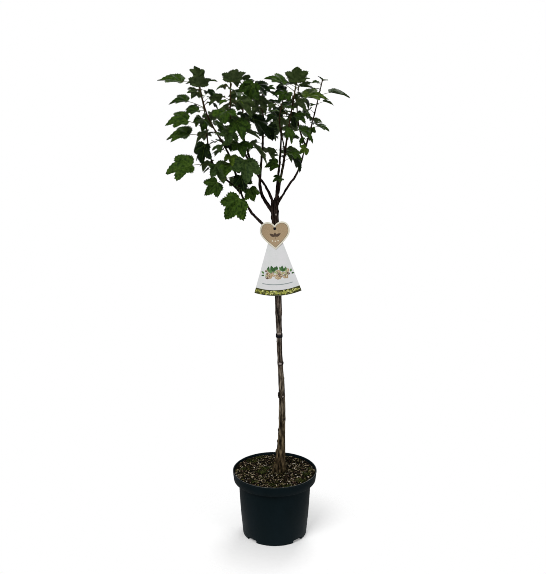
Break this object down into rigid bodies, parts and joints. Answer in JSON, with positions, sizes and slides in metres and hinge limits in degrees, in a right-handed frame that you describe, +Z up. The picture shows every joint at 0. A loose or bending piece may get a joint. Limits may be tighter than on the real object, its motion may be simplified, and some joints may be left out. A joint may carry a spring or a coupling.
{
  "type": "potted white currant standard",
  "caption": "White currant grown as a standard: a clear woody stem with an open vase of leafy shoots, in a round plastic pot of compost with a heart and fan plant label.",
  "frame": {"origin": "centre of the pot's flat underside", "axes": "+Z up along the plant, -Y towards the side that the label faces, +X to that viewer's right"},
  "size_m": [0.4673, 0.337, 1.201],
  "materials": {
    "pot_plastic": "semi-matt moulded plastic, blue-black",
    "compost": "crumbly brown compost with bark and moss",
    "bark": "grey-brown streaked bark",
    "shoot_bark": "dark smooth young bark",
    "leaves": "dark green leaves with a soft sheen",
    "kraft_board": "matt kraft board with a cream rim",
    "white_card": "smooth white printed card",
    "tie_plastic": "black plastic"
  },
  "bodies": {
    "root": {"pot": "pot_plastic", "compost": "compost", "trunk": "bark", "stem_band": "tie_plastic", "label_heart": "kraft_board", "label_fan": "white_card", "label_tie": "tie_plastic", "bough_low_left": "shoot_bark", "bough_outer_left": "shoot_bark", "bough_mid_left": "shoot_bark", "bough_twin_left": "shoot_bark", "bough_back_left": "shoot_bark", "bough_upright": "shoot_bark", "bough_front_thin": "shoot_bark", "bough_right": "shoot_bark", "bough_back_right": "shoot_bark", "bough_rear": "shoot_bark", "foliage_low_left": "leaves", "foliage_outer_left": "leaves", "foliage_mid_left": "leaves", "foliage_twin_left": "leaves", "foliage_back_left": "leaves", "foliage_upright": "leaves", "foliage_front_thin": "leaves", "foliage_right": "leaves", "foliage_back_right": "leaves", "foliage_rear": "leaves"}
  },
  "joints": []
}
